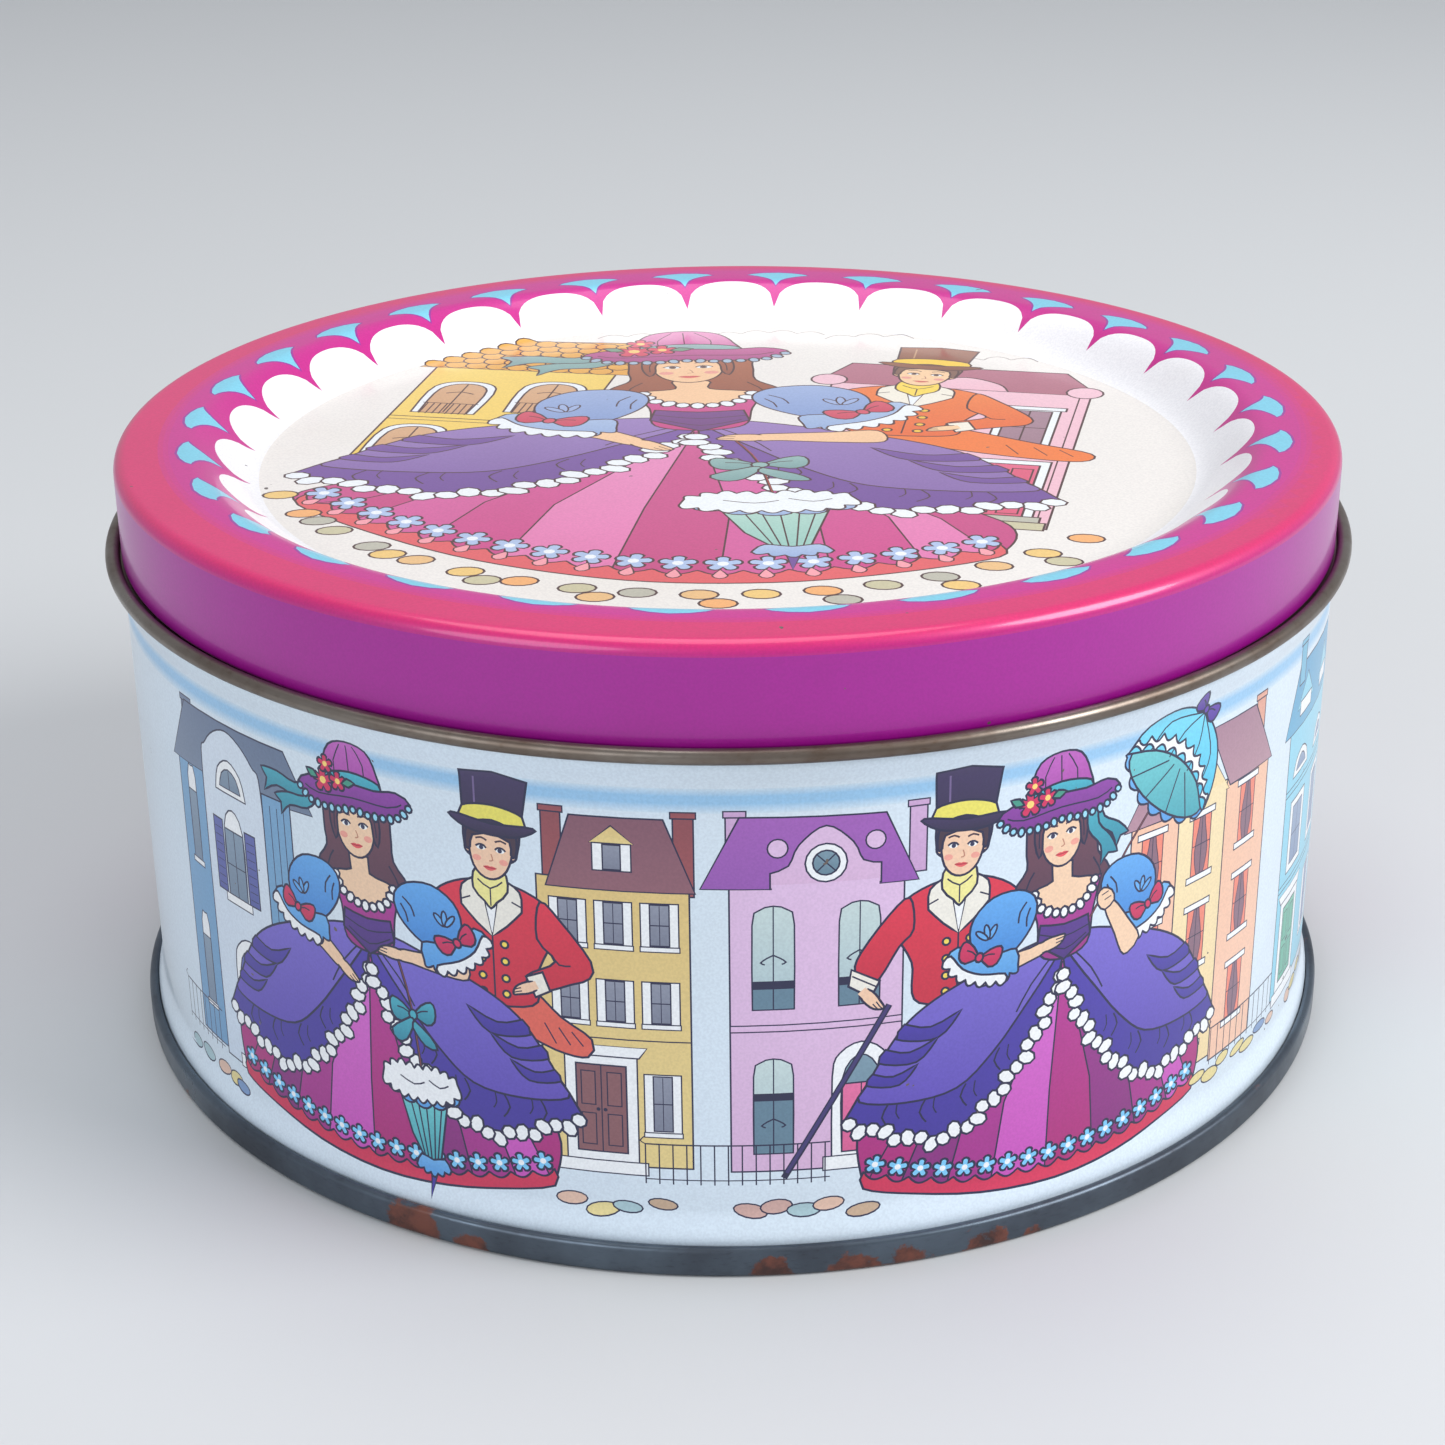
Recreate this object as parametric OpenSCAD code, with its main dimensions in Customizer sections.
// Round lithographed tin with a slip lid.
// Four pressed tinplate pieces: the printed wall with its lock seam, the base seamed
// to its foot, the neck ring crimped over its top flange, and the lid.
// Every section is a sheet of even thickness that follows a centreline.

/* [Size] */
// Outside diameter of the wall and of the lid skirt
body_d = 190; // [150:1:250]
// Height from the table to the top of the lid rim
total_h = 94; // [75:1:150]
// Thickness of the tinplate
sheet = 0.3; // [0.25:0.01:0.36]

/* [Lid] */
// Height of the lid skirt, from the rim top to the lower curl
lid_skirt_h = 15.1; // [12:0.1:22]
// Outside radius of the corner between lid rim and skirt
lid_corner_r = 2; // [1:0.1:4]
// Width of the flat rim, from the outside of the skirt to the start of the slope
lid_rim_w = 10.8; // [8:0.1:16]
// Width of the slope from the rim down to the sunk panel
lid_slope_w = 11.4; // [8:0.1:18]
// Depth of the sunk panel below the rim
lid_panel_drop = 6.2; // [3:0.1:9]
// Outside diameter of the inward curl at the lower edge of the skirt
lid_curl_d = 1.8; // [1.5:0.1:2.4]

/* [Neck ring] */
// Radial clearance between the neck and the lid curl
lid_clearance = 0.15; // [0.1:0.01:0.3]
// Gap between the seated lid curl and the neck shoulder
seat_gap = 0.1; // [0.05:0.01:0.2]
// Gap between the lid skirt and the bead beside it
bead_gap = 0.3; // [0.2:0.01:0.6]
// Outside diameter of the bead that is crimped over the wall flange
bead_d = 2.2; // [1.8:0.1:3]
// Gap between the top of the neck and the underside of the lid rim
neck_top_gap = 0.9; // [0.5:0.1:3]
// Outside diameter of the safe edge rolled inwards at the top of the neck
neck_curl_d = 1.6; // [1.3:0.1:2.4]
// Angle of the spot-welded lap where the neck strip meets itself, seen from above
neck_lap_at = 100; // [0:5:355]
// Width of that lap
neck_lap_w = 6; // [4:0.5:10]

/* [Wall] */
// Height of the flare below the bead
top_flare_h = 5.2; // [4:0.1:8]
// Height of the flare above the base seam
foot_flare_h = 5; // [4:0.1:8]
// How far the wall stands out at the base seam
foot_flare_out = 1.1; // [0.8:0.1:1.6]
// Clearance between the folded layers of a seam
fold_gap = 0.06; // [0.04:0.01:0.1]
// Angle of the side seam, seen from above, with the front at -90
side_seam_at = 193; // [0:1:359]
// Overlap of the hooked edges in the side seam
side_seam_w = 4; // [3:0.5:6]

/* [Base] */
// Height of the base seam
seam_h = 4.6; // [4:0.1:6]
// How far the base seam stands out from the wall
seam_out = 2.7; // [2.5:0.1:3.4]
// Height of the base panel above the table
base_recess = 3.6; // [3:0.1:6]
// Radius of the stiffening ring pressed into the base, at its middle
base_ring_r = 66; // [40:1:68]
// Width of the stiffening ring
base_ring_w = 7; // [4:0.5:10]
// Height of the stiffening ring
base_ring_h = 0.9; // [0.4:0.1:1.5]

/* [Hidden] */
$fn = 240;

half = sheet / 2;
body_r = body_d / 2;

// Points on an arc of radius r around c, from angle a0 to a1.
function arc(c, r, a0, a1, n = 10) =
    [for (i = [0:n]) let (a = a0 + (a1 - a0) * i / n) c + r * [cos(a), sin(a)]];

// A soft double bend from p to q that starts and ends parallel to the second axis.
function double_bend(p, q, n = 10) =
    [for (i = [0:n]) let (u = i / n)
        [p[0] + (q[0] - p[0]) * (1 - cos(180 * u)) / 2, p[1] + (q[1] - p[1]) * u]];

// The same bend turned so that it starts and ends parallel to the first axis.
function level_bend(p, q, n = 10) =
    [for (b = double_bend([p[1], p[0]], [q[1], q[0]], n)) [b[1], b[0]]];

function unit(v) = v / norm(v);
function left_of(v) = [-v[1], v[0]];
function joined(lists) = [for (l = lists) each l];

// Direction and length of the offset at point i of a centreline, mitred at bends.
function mitre(path, i) =
    let (before = left_of(unit(path[max(i, 1)] - path[max(i, 1) - 1])),
         last = len(path) - 1,
         after = left_of(unit(path[min(i, last - 1) + 1] - path[min(i, last - 1)])),
         middle = unit(before + after))
    middle / (middle * before);

// Outline of a sheet that follows a centreline.
function sheet_outline(path) = concat(
    [for (i = [0:len(path) - 1]) path[i] + half * mitre(path, i)],
    [for (i = [len(path) - 1:-1:0]) path[i] - half * mitre(path, i)]);

module pressed(path) {
    rotate_extrude() polygon(sheet_outline(path));
}

// ---- lid ----
lid_bottom = total_h - lid_skirt_h;
lid_curl_r = lid_curl_d / 2 - half;
lid_curl_c = [body_r - lid_curl_d / 2, lid_bottom + lid_curl_d / 2];
lid_corner_c = [body_r - lid_corner_r, total_h - lid_corner_r];
rim_inner_r = body_r - lid_rim_w;
panel_r = rim_inner_r - lid_slope_w;
panel_z = total_h - lid_panel_drop;

lid_line = joined([
    arc(lid_curl_c, lid_curl_r, -290, 0, 24),
    arc(lid_corner_c, lid_corner_r - half, 0, 90, 12),
    level_bend([rim_inner_r, total_h - half], [panel_r, panel_z - half], 16),
    [[0, panel_z - half]]]);

module lid() {
    color("mediumvioletred") pressed(lid_line);
}

// ---- neck ring ----
neck_r = body_r - lid_curl_d - lid_clearance;
neck_top = total_h - sheet - neck_top_gap;
shoulder_z = lid_bottom - seat_gap;
bead_c = [body_r + bead_gap + bead_d / 2, lid_bottom];
bead_r = bead_d / 2 - half;
neck_curl_r = neck_curl_d / 2 - half;
neck_curl_c = [neck_r - neck_curl_d / 2, neck_top - neck_curl_d / 2];
shoulder_bend = 0.8;
bead_bend = 0.3;
crimp_end = -92;

neck_line = joined([
    arc(neck_curl_c, neck_curl_r, 270, 0, 20),
    arc([neck_r - half + shoulder_bend, shoulder_z - half + shoulder_bend],
        shoulder_bend, 180, 270, 6),
    arc([bead_c[0] - bead_r - bead_bend, shoulder_z - half + bead_bend],
        bead_bend, -90, 0, 4),
    arc(bead_c, bead_r, 168, crimp_end, 24)]);

module neck_ring() {
    lap_angle = neck_lap_w / neck_r * 180 / PI;
    lap_bottom = shoulder_z + shoulder_bend + 0.2;
    lap_top = neck_curl_c[1] - 0.5;
    color("silver") union() {
        pressed(neck_line);
        // The end of the strip lies inside its own start.
        rotate([0, 0, neck_lap_at]) rotate_extrude(angle = lap_angle)
            translate([neck_r - sheet - sheet, lap_bottom])
                square([sheet + half, lap_top - lap_bottom]);
    }
}

// ---- base ----
seam_r = body_r + seam_out;
wall_foot_r = body_r - half + foot_flare_out;
layer = sheet + fold_gap;
chuck_r = wall_foot_r - layer;
hook_r = wall_foot_r + layer;
seam_corner_r = 0.6;
seam_top_bend = (seam_r - half - hook_r) / 2;
hook_bottom = 1.6;
panel_bend = 0.8;

base_line = joined([
    [[0, base_recess - half]],
    level_bend([base_ring_r - base_ring_w / 2, base_recess - half],
               [base_ring_r - base_ring_w / 4, base_recess - half + base_ring_h]),
    level_bend([base_ring_r + base_ring_w / 4, base_recess - half + base_ring_h],
               [base_ring_r + base_ring_w / 2, base_recess - half]),
    arc([chuck_r - panel_bend, base_recess - half - panel_bend], panel_bend, 90, 0, 6),
    arc([chuck_r + seam_corner_r, half + seam_corner_r], seam_corner_r, 180, 270, 6),
    arc([seam_r - half - seam_corner_r, half + seam_corner_r], seam_corner_r, -90, 0, 6),
    arc([seam_r - half - seam_top_bend, seam_h - half - seam_top_bend],
        seam_top_bend, 0, 180, 14),
    [[hook_r, hook_bottom]]]);

module base() {
    color("slategray") pressed(base_line);
}

// ---- wall ----
flange_top = [bead_c[0] + 0.05, bead_c[1] + bead_r - layer - 0.25];
flare_top = [bead_c[0] - 0.35, bead_c[1] - bead_r - 0.1];
straight_top = flare_top[1] - top_flare_h;
straight_foot = seam_h + foot_flare_h;
foot_fold_z = half + layer + 0.55;
body_hook_top = seam_h - half - layer - 0.6;

wall_line = joined([
    [[wall_foot_r + 2 * layer, body_hook_top]],
    arc([wall_foot_r + layer, foot_fold_z], layer, 0, -180, 10),
    double_bend([wall_foot_r, seam_h], [body_r - half, straight_foot]),
    double_bend([body_r - half, straight_top], flare_top),
    [flange_top]]);

// Maps a point (length along the wall, depth below its outer face) onto the round wall.
function wrapped(outline) =
    [for (p = outline) let (a = p[0] / body_r * 180 / PI)
        (body_r - p[1]) * [cos(a), sin(a)]];

seam_half = side_seam_w / 2;
groove = 0.1;
// The seam lies this far below the face of the wall beside it.
seam_sink = 0.03;
join_lap = 0.4;
depth = [for (i = [0:3]) seam_sink + half + layer * i];
rise = 1.3;
seam_from = -seam_half - 1;
seam_to = seam_half + layer + half + groove + rise;

// One edge runs over the seam on the outside and hooks back under it.
outer_hook = joined([
    level_bend([seam_from - join_lap, depth[0]], [seam_half - 0.3, depth[0]], 6),
    arc([seam_half, depth[1]], layer, -90, 90, 10),
    [[-seam_half + 2 * layer, depth[2]]]]);

// The other edge dips below the first, and hooks back into its fold.
inner_hook = joined([
    [[seam_to + join_lap, depth[0]]],
    level_bend([seam_to, depth[0]], [seam_half + half + groove, depth[3]], 10),
    level_bend([seam_half - 0.3, depth[3]], [-seam_half + layer + 0.3, depth[3]], 4),
    arc([-seam_half + layer, depth[2]], layer, 90, 270, 10),
    [[seam_half - 2 * layer, depth[1]]]]);

module side_seam() {
    for (hook = [outer_hook, inner_hook])
        translate([0, 0, straight_foot - join_lap])
            linear_extrude(straight_top - straight_foot + 2 * join_lap)
                polygon(wrapped(sheet_outline(hook)));
}

module body_wall() {
    from_angle = seam_from / body_r * 180 / PI;
    sweep = (seam_to - seam_from) / body_r * 180 / PI;
    color("aliceblue") union() {
        difference() {
            pressed(wall_line);
            translate([0, 0, straight_foot]) rotate([0, 0, side_seam_at + from_angle])
                rotate_extrude(angle = sweep)
                    translate([body_r - 2 * sheet, 0])
                        square([3 * sheet, straight_top - straight_foot]);
        }
        rotate([0, 0, side_seam_at]) side_seam();
    }
}

lid();
body_wall();
neck_ring();
base();
